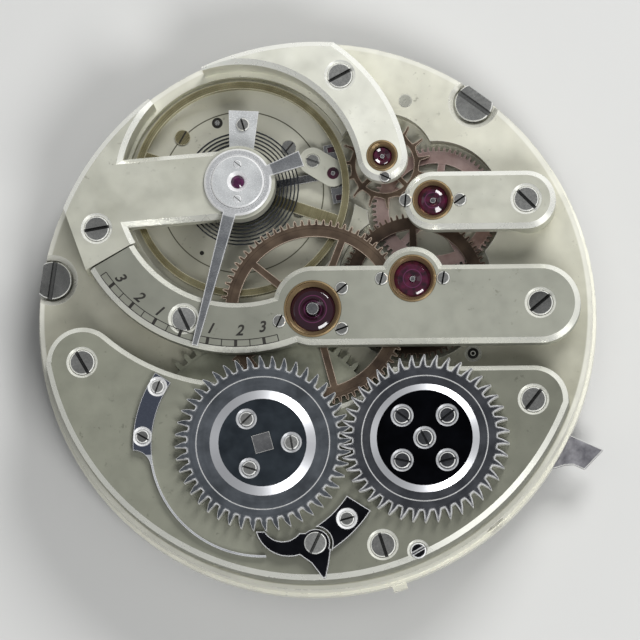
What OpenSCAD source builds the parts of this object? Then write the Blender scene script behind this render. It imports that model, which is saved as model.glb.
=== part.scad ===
// Keyless bar movement of a pocket watch, seen from the bridge side.
// Millimetres. +Z points to the bridge side, z = 0 is the case seat, and the centre wheel is on the Z axis.

/* [Plate] */
// Radius of the flange that seats in the case
flange_r = 21.5; // [21.2:0.1:22.5]
// Thickness of the flange on the dial side
flange_h = 1.0; // [1:0.1:1.4]
// Height of the plate above its case seat
plate_h = 2.0; // [1.95:0.05:2.4]
// Width of the case seat
seat_w = 0.25; // [0.15:0.05:0.4]
// Depth of the motion work sink on the dial side
motion_sink_d = 0.9; // [0.85:0.05:1]

/* [Bridges] */
// Gap between the plate and the bridges
train_gap = 1.6; // [1.55:0.05:2]
// Thickness of the bridges and cocks
bridge_h = 1.6; // [1.3:0.1:2]
// Width of the polished bevels on the bridges
bevel = 0.4; // [0.1:0.02:0.45]
// How far the bridges stay inside the plate's edge
rim_inset = 0.4; // [0.35:0.05:0.6]
// Radius of the balance sink in the plate
balance_sink_r = 8.85; // [8.75:0.05:9]
// Inner radius of the bridges that curve round the balance
ring_in = 9.3; // [9.2:0.05:9.6]
// Outer radius of the bridges that curve round the balance
ring_out = 13.15; // [12.9:0.05:13.3]
// Half width of the train bridge
train_half_w = 3.05; // [2.9:0.05:3.2]
// Half width of the fourth wheel cock
fourth_half_w = 2.25; // [2.1:0.05:2.4]
// Half width of the balance cock's arm
cock_half_w = 2.65; // [2.2:0.05:2.75]
// Radius of the concave edge of the barrel bridge
barrel_arc_r = 15.5; // [15.3:0.05:15.7]

/* [Going train] */
// Distance of the balance from the centre
balance_dist = 11.4; // [11.3:0.05:11.6]
// Direction of the balance from the centre
balance_dir = 120.2; // [119:0.2:121]
// Tooth module of the barrel and the centre pinion
barrel_m = 0.2846; // [0.28:0.0002:0.288]
// Tooth module of the centre wheel and the third pinion
centre_m = 0.177; // [0.174:0.0005:0.18]
// Tooth module of the third wheel and the fourth pinion
third_m = 0.1473; // [0.145:0.0001:0.15]
// Tooth module of the fourth wheel and the escape pinion
fourth_m = 0.1353; // [0.133:0.0001:0.137]
// Teeth of the barrel
barrel_teeth = 66; // [60:1:72]
// Leaves of the centre pinion
centre_leaves = 12; // [12:1:14]
// Teeth of the centre wheel
centre_teeth = 80; // [76:1:84]
// Leaves of the third pinion
third_leaves = 10; // [10:1:11]
// Teeth of the third wheel
third_teeth = 75; // [72:1:78]
// Leaves of the fourth pinion
fourth_leaves = 10; // [10:1:11]
// Teeth of the fourth wheel
fourth_teeth = 70; // [68:1:72]
// Leaves of the escape pinion
escape_leaves = 7; // [7:1:8]
// Tip radius of the escape wheel
escape_r = 3.5; // [3.3:0.05:3.6]
// Thickness of the train wheels
wheel_h = 0.28; // [0.2:0.02:0.3]
// Radius of the train arbors
arbor_r = 0.28; // [0.24:0.01:0.3]

/* [Winding] */
// Tooth module of the ratchet and crown wheels
wind_m = 0.2874; // [0.284:0.0002:0.289]
// Teeth of the ratchet wheel
ratchet_teeth = 44; // [43:1:45]
// Teeth of the crown wheel
crown_teeth = 42; // [41:1:43]
// Thickness of the ratchet and crown wheels
wind_h = 0.8; // [0.6:0.05:1]
// Side of the square on the barrel arbor
arbor_square = 1.4; // [1.2:0.05:1.5]
// Radius of the winding stem's bore
stem_r = 0.8; // [0.6:0.05:0.85]

/* [Balance] */
// Outer radius of the balance rim
balance_r = 8.4; // [8.2:0.05:8.45]
// Radial thickness of the balance rim
rim_w = 0.55; // [0.4:0.05:0.7]
// Height of the balance rim
rim_h = 0.7; // [0.5:0.05:0.75]
// Turns of the hairspring
hair_turns = 6; // [4:1:6]
// Radial pitch of the hairspring
hair_pitch = 0.6; // [0.56:0.01:0.61]
// Thickness of the hairspring strip
hair_t = 0.12; // [0.08:0.01:0.14]
// Length of the index tail from the balance axis
index_len = 13.05; // [12:0.05:13.4]

/* [Screws and fits] */
// Head radius of the bridge screws
screw_r = 0.95; // [0.8:0.05:1]
// Head radius of the case screws
case_screw_r = 1.46; // [1.2:0.02:1.5]
// Radial clearance of fixed pieces
fit = 0.02; // [0.01:0.005:0.03]
// Radial clearance of turning pieces
run = 0.03; // [0.02:0.005:0.05]

/* [Hidden] */
$fn = 96;
eps = 0.01;

// Heights
z_plate = plate_h;
z_under = z_plate + train_gap;
z_top = z_under + bridge_h;
z_wind = z_top + 0.05;
plate_r = flange_r - seat_w;
bridge_r = plate_r - rim_inset;
barrel_floor_z = z_plate - 1.55;
drum_z = barrel_floor_z + 0.05;
drum_top = z_plate + 0.85;
cover_top = drum_top + 0.12;
centre_wheel_z = z_under - 0.2 - wheel_h;
third_wheel_z = z_plate - 0.5;
fourth_wheel_z = z_plate - 1.25;
escape_wheel_z = z_plate - 0.78;
lever_h = 0.25;
pallet_cock_z = z_plate - 0.38;
pallet_cock_top = z_plate - 0.18;
rim_z = z_plate - 0.1;
arm_z = z_plate + 0.1;
arm_h = 0.3;
hair_z = z_plate + 0.64;
hair_h = 0.26;
balance_floor_z = z_plate - 1.0;
third_floor_z = z_plate - 0.8;
deep_floor_z = z_plate - 1.5;
motion_z = motion_sink_d - flange_h;

// Layout in plan
function polar(r, a) = [r * cos(a), r * sin(a)];
function dir(p, q) = atan2(q[1] - p[1], q[0] - p[0]);
// Point at distance r1 from p and r2 from q, on the side given by s
function meet(p, r1, q, r2, s) =
    let (d = norm(q - p), a = acos((r1 * r1 + d * d - r2 * r2) / (2 * r1 * d)))
    p + polar(r1, dir(p, q) + s * a);
centre_p = [0, 0];
balance_p = polar(balance_dist, balance_dir);
third_p = polar(centre_m * (centre_teeth + third_leaves) / 2, 16.65);
fourth_p = third_p + polar(third_m * (third_teeth + fourth_leaves) / 2, 75.5);
escape_p = fourth_p + polar(fourth_m * (fourth_teeth + escape_leaves) / 2, 138);
pallet_p = escape_p + polar(escape_r / cos(30), dir(escape_p, balance_p));
barrel_p = polar(barrel_m * (barrel_teeth + centre_leaves) / 2, 250.3);
crown_p = barrel_p + polar(wind_m * (ratchet_teeth + crown_teeth) / 2, 1.2);
stem_dir = dir(centre_p, crown_p);
lobe_r = 2.75;
lobe_p = meet(centre_p, bridge_r - lobe_r, balance_p, barrel_arc_r + lobe_r, 1);
corner_r = 2.65;
corner_p = polar(plate_r - 2.95, -23);
train_end_p = [plate_r - 3.85, 0.3];
fourth_end_p = [plate_r - 4.9, fourth_p[1]];
third_bump_r = 2.5;
cock_hub_r = 2.85;
escape_end_r = (ring_out - ring_in) / 2;
escape_end_p = balance_p + polar((ring_in + ring_out) / 2, dir(balance_p, escape_p));
cock_dir = 184.5;
scale_dir = 210;
cock_tip_dir = 136;
escape_tip_dir = 107.5;
sector_end_dir = 293;
index_dir = 255.5;
curb_dir = 20;
stud_dir = 87;
hair_in = 0.95;
hair_out = hair_in + hair_turns * hair_pitch;
hole_r = 0.5;
sink_h = 0.5;
case_screw_dirs = [53.4, 171.7];
case_screw_dist = plate_r - 0.75;
cock_screw_p = balance_p + polar(11.4, 197.6);
escape_screw_p = balance_p + polar(11.39, 46.6);
sector_screw_p = balance_p + polar(11.3, 248.5);
foot_screw_p = polar(plate_r - 2.27, -73.6);

// Screws of the bridges: place and direction of the slot
bridge_screw_list = [
    [cock_screw_p, 10], [escape_screw_p, 28], [fourth_end_p, -45], [train_end_p, 40], [sector_screw_p, -65],
    [lobe_p, -60], [corner_p, 52], [foot_screw_p, -72]
];

// Jewel settings: place, setting radius, jewel radius, pivot radius
centre_set = [centre_p, 2.2, 1.72, 0.45];
third_set = [third_p, 1.83, 1.4, 0.2];
fourth_set = [fourth_p, 1.55, 1.15, 0.2];
escape_set = [escape_p, 1.2, 0.72, 0.16];
sets = [centre_set, third_set, fourth_set, escape_set];
jewel_screw_list = [
    [centre_p + polar(2.72, 35), 0.5, 40], [centre_p + polar(2.72, -35), 0.5, 20],
    [centre_p + polar(2.72, 200), 0.5, 65], [third_p + polar(2.36, 180), 0.5, 75],
    [third_p + polar(2.36, 0), 0.5, 80], [fourth_p + polar(2.08, 180), 0.5, 85],
    [fourth_p + polar(2.08, 0), 0.5, 35], [escape_p + polar(1.66, -82), 0.42, -25]
];
setting_d = 0.7;

// Teeth drawn one by one: each tooth is a few points in polar form
function ring_points(n, first, tooth) =
    [for (k = [0 : n - 1], t = tooth) polar(t[0], first + (k + t[1]) * 360 / n)];
// Half widths of a tooth at its root, pitch line and tip, as shares of the pitch
function wheel_tooth(rp, m) = [
    [rp - 1.3 * m, -0.24], [rp, -0.2], [rp + 0.7 * m, -0.14], [rp + 1.1 * m, -0.03],
    [rp + 1.1 * m, 0.03], [rp + 0.7 * m, 0.14], [rp, 0.2], [rp - 1.3 * m, 0.24]
];
function leaf_tooth(rp, m) = [
    [rp - 1.5 * m, -0.13], [rp, -0.17], [rp + 0.55 * m, -0.08], [rp + 0.55 * m, 0.08],
    [rp, 0.17], [rp - 1.5 * m, 0.13]
];
// Hooked wolf tooth that leans towards side s
function wolf_tooth(rp, m, s) =
    let (t = [[-1.7, -0.36], [-0.85, -0.28], [0, -0.17], [0.7, -0.05], [wolf_add, 0.07], [wolf_add, 0.16],
              [0.7, 0.18], [0, 0.19], [-0.85, 0.23], [-1.7, 0.29]], n = len(t) - 1)
    [for (i = [0 : n]) let (q = s > 0 ? t[i] : t[n - i]) [rp + q[0] * m, s * q[1]]];
wolf_add = 1.4;
module teeth(n, first, tooth) polygon(ring_points(n, first, tooth));

module wheel(p, n, m, to, z, arms, arm_first) {
    rp = n * m / 2;
    rim_in = rp - 1.3 * m - 0.95;
    hub_r = 1.1;
    arm_w = 0.55;
    translate([p[0], p[1], z]) linear_extrude(wheel_h) difference() {
        teeth(n, to, wheel_tooth(rp, m));
        difference() {
            circle(rim_in);
            circle(hub_r);
            for (k = [0 : arms - 1])
                rotate(arm_first + k * 360 / arms) translate([0, -arm_w / 2]) square([rim_in + 0.2, arm_w]);
        }
        circle(arbor_r + fit);
    }
}

module pinion(p, n, m, to, z, h) {
    translate([p[0], p[1], z]) linear_extrude(h) teeth(n, to + 180 + 180 / n, leaf_tooth(n * m / 2, m));
}

module post(p, r, z0, z1) translate([p[0], p[1], z0]) cylinder(r = r, h = z1 - z0);
module ring(p, r_in, r_out, z0, z1) difference() {
    post(p, r_out, z0, z1);
    post(p, r_in, z0 - 1, z1 + 1);
}

// Bridge forms with a polished bevel along the top edge
module bevel_disc(p, r, z0 = z_under) translate([p[0], p[1], 0]) rotate_extrude()
    polygon([[0, z0], [r, z0], [r, z_top - bevel], [r - bevel, z_top], [0, z_top]]);
module bevel_sector(p, r_in, r_out, a0, a1, z0 = z_under) translate([p[0], p[1], 0])
    rotate_extrude(angle = a1 - a0, start = a0)
        polygon([[r_in, z0], [r_out, z0], [r_out, z_top - bevel], [r_out - bevel, z_top],
                 [r_in + bevel, z_top], [r_in, z_top - bevel]]);
module bevel_strip(p, q, w, z0 = z_under) translate([p[0], p[1], 0]) rotate(dir(p, q)) rotate([90, 0, 90])
    linear_extrude(norm(q - p))
        polygon([[-w, z0], [w, z0], [w, z_top - bevel], [w - bevel, z_top], [bevel - w, z_top], [-w, z_top - bevel]]);
module bevel_bar(p, q, w, z0 = z_under) {
    bevel_disc(p, w, z0);
    bevel_disc(q, w, z0);
    bevel_strip(p, q, w, z0);
}
// Round cutter that leaves a bevel on the edge that it cuts
module bevel_cut(p, r, z0) translate([p[0], p[1], 0]) rotate_extrude()
    polygon([[0, z0], [r, z0], [r, z_top - bevel], [r + bevel + eps, z_top + eps], [0, z_top + eps]]);
module sector(p, r, a0, a1, z0, z1) translate([p[0], p[1], 0])
    rotate_extrude(angle = a1 - a0, start = a0) translate([0, z0]) square([r, z1 - z0]);

// Screw with its head's top at z
head_bevel = 0.08;
// Half width of a slot, as a share of the head's radius
slot_share = 0.13;
module screw(p, r, z, head_h, shank_r, length, turn) translate([p[0], p[1], z]) difference() {
    union() {
        rotate_extrude()
            polygon([[0, -head_h], [r, -head_h], [r, -head_bevel], [r - head_bevel, 0], [0, 0]]);
        translate([0, 0, -length]) cylinder(r = shank_r, h = length - head_h + eps);
    }
    rotate(turn) translate([-r - 1, -slot_share * r, -min(0.3, 0.6 * head_h)]) cube([2 * r + 2, 2 * slot_share * r, 1]);
}
// Sink with a polished bevel for a screw head
module sink(p, r, z, d) translate([p[0], p[1], z]) rotate_extrude()
    polygon([[0, -d], [r + fit, -d], [r + fit, -0.2], [r + 0.25, 0], [r + 0.25, eps], [0, eps]]);
module screw_hole(p, r, z0, z1) post(p, r + fit, z0, z1);
module bridge_screw_cut(p) {
    sink(p, screw_r, z_top, sink_h);
    screw_hole(p, hole_r, z_plate - 1, z_top);
}

module setting_cut(s) {
    post(s[0], s[1] + fit, z_top - setting_d, z_top + 1);
    post(s[0], s[2], z_under - 1, z_top);
}
module jewel_screw_cuts(first, last) for (k = [first : last])
    post(jewel_screw_list[k][0], jewel_screw_list[k][1] + fit, z_top - 0.45, z_top + 1);

module main_plate() color("#b9b8a6") {
    plate_body();
    // Post of the minute wheel
    post(minute_p, 0.4 - run, -flange_h + 0.1, motion_z + 0.2);
}
module plate_body() difference() {
    union() {
        post(centre_p, flange_r, -flange_h, 0);
        post(centre_p, plate_r, -eps, z_plate);
        // Locating lug for the case
        rotate(-73) translate([flange_r - 1, -0.55, -flange_h]) cube([1.45, 1.1, 0.6]);
    }
    // Sinks for the train, the balance and the barrel
    post(balance_p, balance_sink_r, balance_floor_z, z_plate + 1);
    post(third_p, third_r + 0.3, third_floor_z, z_plate + 1);
    post(fourth_p, fourth_r + 0.3, deep_floor_z, z_plate + 1);
    post(escape_p, escape_r + 0.4, deep_floor_z, z_plate + 1);
    post(barrel_p, drum_r + 0.25, barrel_floor_z, z_plate + 1);
    post(pallet_p, 2.6, balance_floor_z, z_plate + 1);
    // Lower bearings
    for (p = [third_p, fourth_p, escape_p, pallet_p]) post(p, pivot_r + run, -flange_h - 1, z_plate);
    post(centre_p, centre_r + run, -flange_h - 1, z_plate + 1);
    post(balance_p, staff_r + run, -flange_h - 1, z_plate);
    post(barrel_p, barrel_pivot_r + run, -flange_h - 1, z_plate);
    // Room for the centre pinion
    post(centre_p, centre_leaves * barrel_m / 2 + 0.5, z_plate - 0.1, z_plate + 1);
    for (k = pin_list) post(k[0], k[1] + fit, z_plate - 0.6, z_plate + 1);
    // Threaded holes of the bridge screws
    for (s = bridge_screw_list) screw_hole(s[0], hole_r, z_plate - 1.4, z_plate + 1);
    screw_hole(pallet_foot_p, 0.25, balance_floor_z - 0.4, z_plate);
    // Case screws, half sunk in the edge
    for (a = case_screw_dirs) {
        p = polar(case_screw_dist, a);
        translate([p[0], p[1], z_plate]) rotate_extrude()
            polygon([[0, -0.8], [case_screw_r + 0.15, -0.8], [case_screw_r + 0.15, -0.35],
                     [case_screw_r + 0.5, 0], [case_screw_r + 0.5, 1], [0, 1]]);
        screw_hole(p, 0.6, -flange_h - 1, z_plate);
    }
    // Bore of the winding stem
    rotate(stem_dir) translate([stem_in, 0, z_stem]) rotate([0, 90, 0]) cylinder(r = stem_r, h = flange_r);
    // Dial side: motion work sink, dial feet and the setting lever's sink
    post(centre_p, motion_r, -flange_h - 1, motion_z);
    for (a = dial_foot_dirs) post(polar(dial_foot_dist, a), dial_foot_r, -flange_h - 1, -flange_h + 1.6);
    setting_lever_shape(-flange_h - 1, lever_sink_z, 0.2);
    screw_hole(setting_p, 0.35, -flange_h - 1, z_plate - 1);
}
third_r = third_m * third_teeth / 2 + 1.1 * third_m;
fourth_r = fourth_m * fourth_teeth / 2 + 1.1 * fourth_m;
centre_r = 0.5;
pivot_r = 0.16;
staff_r = 0.22;
barrel_pivot_r = 0.9;
drum_r = 8.85;
stem_in = norm(crown_p) - 0.35;
z_stem = plate_h / 2;
dial_foot_dirs = [60, 180, 300];
dial_foot_dist = flange_r - 1.84;
dial_foot_r = 0.7;

module barrel_bridge() color("#b7b6a4") difference() {
    intersection() {
        bevel_disc(centre_p, bridge_r, z_plate);
        union() {
            bevel_disc(lobe_p, lobe_r, z_plate);
            sector(balance_p, 3 * flange_r, dir(balance_p, lobe_p) + 360, 285, z_plate, z_top);
            translate([-flange_r, lobe_p[1] - 2 * flange_r, z_plate]) cube([flange_r, 2 * flange_r, z_top - z_plate]);
            bevel_disc(corner_p, corner_r, z_plate);
            bevel_strip([-flange_r, corner_p[1]], corner_p, corner_r, z_plate);
            bevel_strip(corner_p, corner_p - [0, flange_r], corner_r, z_plate);
            translate([-flange_r, corner_p[1] - flange_r, z_plate])
                cube([flange_r + corner_p[0], flange_r, z_top - z_plate]);
        }
    }
    bevel_cut(balance_p, barrel_arc_r, z_plate - 1);
    bevel_cut(centre_p, centre_m * centre_teeth / 2 + 0.55, z_plate - 1);
    // Room for the barrel and its arbor
    post(barrel_p, barrel_tip_r + 0.1, z_plate - 1, cover_top + 0.15);
    post(barrel_p, arbor_neck_r + run, z_plate, z_top + 1);
    for (p = [lobe_p, corner_p, foot_screw_p]) bridge_screw_cut(p);
    for (k = [0 : 4]) screw_hole(crown_screw_p(k), 0.3, z_top - 1, z_top + 1);
    for (p = [click_p, bridle_p]) screw_hole(p, 0.3, z_top - 1, z_top + 1);
    sink(detent_p, 0.6, z_top, 0.33);
    screw_hole(detent_p, 0.35, z_top - 2.1, z_top);
    for (p = spring_screw_p) screw_hole(p, 0.3, z_top - 1, z_top + 1);
}
barrel_tip_r = barrel_m * barrel_teeth / 2 + 1.1 * barrel_m;
arbor_neck_r = 1.2;
function crown_screw_p(k) = k == 0 ? crown_p : crown_p + polar(2.43, 45 + 90 * k);

module train_bridge() color("#bab9a8") difference() {
    union() {
        bevel_bar(centre_p + [0, train_end_p[1]], train_end_p, train_half_w);
        bevel_disc(third_p, third_bump_r);
        bevel_sector(balance_p, ring_in, ring_out, scale_dir + 0.3, sector_end_dir);
        // Feet
        post(train_end_p, 2.6, z_plate, z_under + eps);
        difference() {
            intersection() {
                sector(balance_p, ring_out - 0.2, scale_dir + 1, 262, z_plate, z_under + eps);
                post(sector_screw_p, 4, z_plate, z_under + 1);
            }
            post(balance_p, ring_in, z_plate - 1, z_under + 1);
            post(barrel_p, barrel_tip_r + 0.1, z_plate - 1, z_under);
            post(centre_p, centre_m * centre_teeth / 2 + 0.5, z_plate - 1, z_under + 1);
        }
    }
    setting_cut(centre_set);
    setting_cut(third_set);
    jewel_screw_cuts(0, 4);
    bridge_screw_cut(train_end_p);
    bridge_screw_cut(sector_screw_p);
}

module fourth_cock() color("#bab9a8") difference() {
    union() {
        bevel_bar(fourth_p, fourth_end_p, fourth_half_w);
        post(fourth_end_p, fourth_half_w - 0.1, z_plate, z_under + eps);
    }
    setting_cut(fourth_set);
    jewel_screw_cuts(5, 6);
    bridge_screw_cut(fourth_end_p);
}

module escape_cock() color("#bcbbaa") difference() {
    intersection() {
        bevel_disc(centre_p, bridge_r, z_plate);
        union() {
            bevel_sector(balance_p, ring_in, ring_out + 6, 60, escape_tip_dir);
            bevel_sector(balance_p, ring_in, ring_out, dir(balance_p, escape_end_p), 61);
            bevel_disc(escape_end_p, escape_end_r);
            difference() {
                sector(balance_p, ring_out - 0.1, 36, escape_tip_dir, z_plate, z_under + eps);
                post(balance_p, ring_in, z_plate - 1, z_under + 1);
            }
        }
    }
    setting_cut(escape_set);
    jewel_screw_cuts(7, 7);
    bridge_screw_cut(escape_screw_p);
    // Right edge, an arc round the balance
    difference() {
        sector(balance_p, 3 * ring_out, 30, 75, z_plate - 1, z_top + 1);
        translate([balance_p[0], balance_p[1], 0]) rotate_extrude()
            polygon([[0, z_plate - 2], [ring_out, z_plate - 2], [ring_out, z_top - bevel],
                     [ring_out - bevel, z_top], [0, z_top]]);
        post(balance_p, ring_out - bevel, z_top - eps, z_top + 2);
    }
}

module cock_arm() difference() {
    translate([0, 0, z_under]) linear_extrude(bridge_h) polygon([
        for (k = [[0, -1], [ring_in + 1.5, -1], [ring_in + 1.5, 1], [0, 1]])
            balance_p + polar(k[0], cock_dir) + polar(k[1] * cock_half_w, cock_dir + 90)
    ]);
    // Bevels along both edges
    for (s = [-1, 1]) translate([balance_p[0], balance_p[1], z_top]) rotate(cock_dir) rotate([90, 0, 90])
        translate([0, 0, -1]) linear_extrude(ring_out)
            polygon([for (k = [[-bevel - 0.08, 0.1], [0.08, 0.1], [0.08, -1.25 * bevel - 0.1]]) [s * (cock_half_w + k[0]), k[1]]]);
}
module balance_cock() color("#bcbbaa") difference() {
    union() {
        intersection() {
            bevel_disc(centre_p, bridge_r, z_plate);
            bevel_sector(balance_p, ring_in - 0.2, 2 * flange_r, cock_tip_dir, scale_dir - 0.3, z_plate);
        }
        cock_arm();
        post(balance_p, cock_hub_r, z_under, z_top);
    }
    bridge_screw_cut(cock_screw_p);
    // Straight left flank
    translate([balance_p[0], balance_p[1], z_plate - 1]) rotate(scale_dir) translate([ring_out + 0.3, 0, 0])
        rotate(-100) translate([-flange_r, 0, 0]) cube([2 * flange_r, flange_r, z_top]);
    post(balance_p, staff_r + run, z_plate, z_top + 1);
    for (a = [90, 270]) screw_hole(balance_p + polar(1.36, a), 0.2, z_top - 0.7, z_top + 1);
}

module pallet_cock() color("#c8c0b8") difference() {
    union() {
        hull() for (p = [pallet_p, pallet_foot_p]) post(p, 1.05, pallet_cock_z, pallet_cock_top);
        post(pallet_foot_p, 0.6, balance_floor_z, pallet_cock_z + eps);
    }
    post(pallet_p, pivot_r + run, balance_floor_z, z_plate);
    post(pallet_p, pallet_jewel_r + fit, pallet_cock_top - 0.15, z_plate);
    post(pallet_foot_p, 0.55 + fit, pallet_cock_top - 0.12, z_plate);
    screw_hole(pallet_foot_p, 0.25, 0, z_plate);
}
pallet_foot_p = pallet_p + polar(1.85, dir(pallet_p, balance_p) - 42);

module bridge_screws() color("#8d8f93") for (s = bridge_screw_list)
    screw(s[0], screw_r, z_top - 0.05, sink_h - 0.05, hole_r, z_top - z_plate + 1.2, s[1]);
detent_p = polar(plate_r - 0.9, -66.7);
module detent_screw() color("#3a3b3e") screw(detent_p, 0.6, z_top - 0.03, 0.3, 0.35, 2.0, 30);
pallet_jewel_r = 0.45;
module pallet_cock_screw() color("#a3a4a6")
    screw(pallet_foot_p, 0.55, pallet_cock_top, 0.12, 0.25, 1.0, -20);
// Steady pin and bush that show on the plate
pin_list = [[polar(18.07, 67.4), 0.47, 0.06], [polar(12.5, -14.3), 0.6, 0.12]];
module plate_pins() color("#a8a28c") for (k = pin_list) post(k[0], k[1], z_plate - 0.6, z_plate + k[2]);
module case_screws() color("#9c9da0") for (k = [0 : len(case_screw_dirs) - 1]) {
    a = case_screw_dirs[k];
    difference() {
        screw(polar(case_screw_dist, a), case_screw_r, z_plate, 0.75, 0.6, 2.4, a + 90);
        rotate(a) translate([plate_r + 0.1, -5, -5]) cube([5, 10, 10]);
    }
}
module jewel_screws() color("#85878b") for (s = jewel_screw_list)
    screw(s[0], s[1], z_top + 0.12, 0.55, s[1] / 2, 0.56, s[2]);

module setting(s) color("#b08d57") translate([s[0][0], s[0][1], 0]) rotate_extrude()
    polygon([[s[2] + fit, z_top - setting_d], [s[1], z_top - setting_d], [s[1], z_top + 0.02],
             [s[1] - 0.12, z_top + 0.12], [s[1] - 0.2, z_top + 0.12], [s[2] + fit, z_top - 0.25]]);
module centre_setting() setting(centre_set);
module third_setting() setting(third_set);
module fourth_setting() setting(fourth_set);
module escape_setting() setting(escape_set);

// Pierced ruby with a domed top and an oil sink
module train_jewels() color("#7a1538") {
    for (s = sets) translate([s[0][0], s[0][1], 0]) rotate_extrude()
        polygon([[s[3] + run, z_top - setting_d], [s[2], z_top - setting_d], [s[2], z_top - 0.35],
                 [s[2] - 0.3, z_top - 0.2], [s[3] + 0.45, z_top - 0.12], [s[3] + run, z_top - 0.4]]);
    // Jewel of the pallet cock
    ring(pallet_p, pivot_r + run, pallet_jewel_r, pallet_cock_top - 0.15, pallet_cock_top);
}

cap_r = 2.05;
index_z = z_top + 0.02;
index_h = 0.32;
module endstone_cap() color("#a9abae") difference() {
    translate([balance_p[0], balance_p[1], 0]) rotate_extrude()
        polygon([[0.3, z_top], [cap_r, z_top], [cap_r, z_top + 0.4], [cap_r - 0.12, z_top + 0.52],
                 [0.8, z_top + 0.52], [0.5 + fit, z_top + 0.25], [0.5 + fit, z_top + 0.1], [0.3, z_top + 0.1]]);
    for (a = [90, 270]) {
        post(balance_p + polar(1.36, a), 0.32 + fit, z_top + 0.3, z_top + 1);
        screw_hole(balance_p + polar(1.36, a), 0.2, z_top - 1, z_top + 1);
    }
}
module endstone() color("#5c1740") translate([balance_p[0], balance_p[1], 0]) rotate_extrude()
    polygon([[0, z_top + 0.1], [0.5, z_top + 0.1], [0.5, z_top + 0.22], [0.3, z_top + 0.34], [0, z_top + 0.38]]);
module cap_screws() color("#b4b5b8") for (a = [90, 270])
    screw(balance_p + polar(1.36, a), 0.32, z_top + 0.56, 0.26, 0.2, 1.0, a + 50);

module index() color("#8f9297") translate([balance_p[0], balance_p[1], index_z]) {
    difference() {
        union() {
            rotate_extrude() polygon([[0, 0], [2.6, 0], [2.6, index_h - 0.14], [2.46, index_h], [0, index_h]]);
            // Tail that tapers to its pointer
            rotate(index_dir) linear_extrude(index_h) polygon([[2.2, -0.5], [index_len, -0.22], [index_len, 0.22], [2.2, 0.5]]);
            rotate(curb_dir) linear_extrude(index_h) polygon([[2.2, -0.4], [5.2, -0.62], [5.2, 0.62], [2.2, 0.4]]);
            for (s = [-1, 1]) rotate(curb_dir)
                translate([curb_r + s * (hair_t / 2 + 0.18), 0, hair_z - index_z]) cylinder(r = 0.08, h = index_z - hair_z + eps, $fn = 24);
        }
        translate([0, 0, -1]) cylinder(r = cap_r + run, h = 3);
    }
}
curb_r = hair_r(curb_dir);
// Radius of the outermost turn of the hairspring in a direction
function hair_r(a) = hair_out - hair_pitch * (stud_dir - a) / 360;

stud_z = z_under - 0.3;
stud_len = hair_out + 1.35;
module stud_carrier() color("#9b9d9f") translate([balance_p[0], balance_p[1], 0]) rotate(stud_dir) difference() {
    union() {
        translate([0, 0, stud_z]) linear_extrude(z_under - stud_z)
            polygon([[1.2, -0.8], [stud_len, -1.15], [stud_len, 1.15], [1.2, 0.8]]);
        translate([hair_out - 0.25, 0.02, hair_z]) cube([0.7, 0.7, stud_z - hair_z + eps]);
    }
    translate([stud_len - 1.1, 0, stud_z - 1]) cylinder(r = 0.25 + fit, h = 4);
}
module stud_screw() color("#85878b")
    screw(balance_p + polar(stud_len - 1.1, stud_dir), 0.5, z_under + 0.22, 0.22, 0.25, 0.5, stud_dir + 20);

// Flat spiral strip from inside to outside, one unbroken outline
function spiral(r0, pitch, turns, t, last) = let (n = turns * 24) concat(
    [for (i = [0 : n]) polar(r0 + pitch * i / 24 + t / 2, last - (n - i) * 15)],
    [for (i = [n : -1 : 0]) polar(r0 + pitch * i / 24 - t / 2, last - (n - i) * 15)]);
module hairspring() color("#3c4048") translate([balance_p[0], balance_p[1], hair_z])
    linear_extrude(hair_h) polygon(spiral(hair_in, hair_pitch, hair_turns, hair_t, stud_dir));
// Least gap between neighbouring turns, measured on the strip's own points
hair_n = hair_turns * 24;
hair_outline = spiral(hair_in, hair_pitch, hair_turns, hair_t, stud_dir);
hair_gap = min([for (i = [24 : hair_n]) norm(hair_outline[2 * hair_n + 1 - i] - hair_outline[i - 24])]);
echo(hairspring_least_gap_mm = hair_gap);

module barrel_drum() color("#a3a493") difference() {
    union() {
        post(barrel_p, drum_r, drum_z, drum_top);
        translate([barrel_p[0], barrel_p[1], z_plate + 0.1]) linear_extrude(drum_top - z_plate - 0.1)
            teeth(barrel_teeth, dir(barrel_p, centre_p), wheel_tooth(barrel_m * barrel_teeth / 2, barrel_m));
    }
    post(barrel_p, drum_r - 0.6, drum_z + 0.35, drum_top + 1);
    post(barrel_p, barrel_pivot_r + run, drum_z - 1, drum_top);
}
module barrel_cover() color("#a3a493") difference() {
    post(barrel_p, drum_r - 0.1, drum_top, cover_top);
    post(barrel_p, arbor_neck_r + run, drum_top - 1, cover_top + 1);
}
module mainspring() color("#5b6470") translate([barrel_p[0], barrel_p[1], drum_z + 0.35])
    linear_extrude(drum_top - drum_z - 0.5) polygon(spiral(core_r + 0.35, 0.7, 8, 0.2, 30));
core_r = 2.0;
module barrel_arbor() color("#9a9ca0") difference() {
    union() {
        post(barrel_p, barrel_pivot_r, -flange_h + 0.2, drum_z + 0.4);
        post(barrel_p, core_r, drum_z + 0.39, drum_top - 0.05);
        post(barrel_p, arbor_neck_r, drum_top - 0.1, z_top);
        translate([barrel_p[0], barrel_p[1], z_top - eps]) rotate(15) translate([-arbor_square / 2, -arbor_square / 2, 0])
            cube([arbor_square, arbor_square, wind_h + 0.3]);
    }
}

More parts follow.
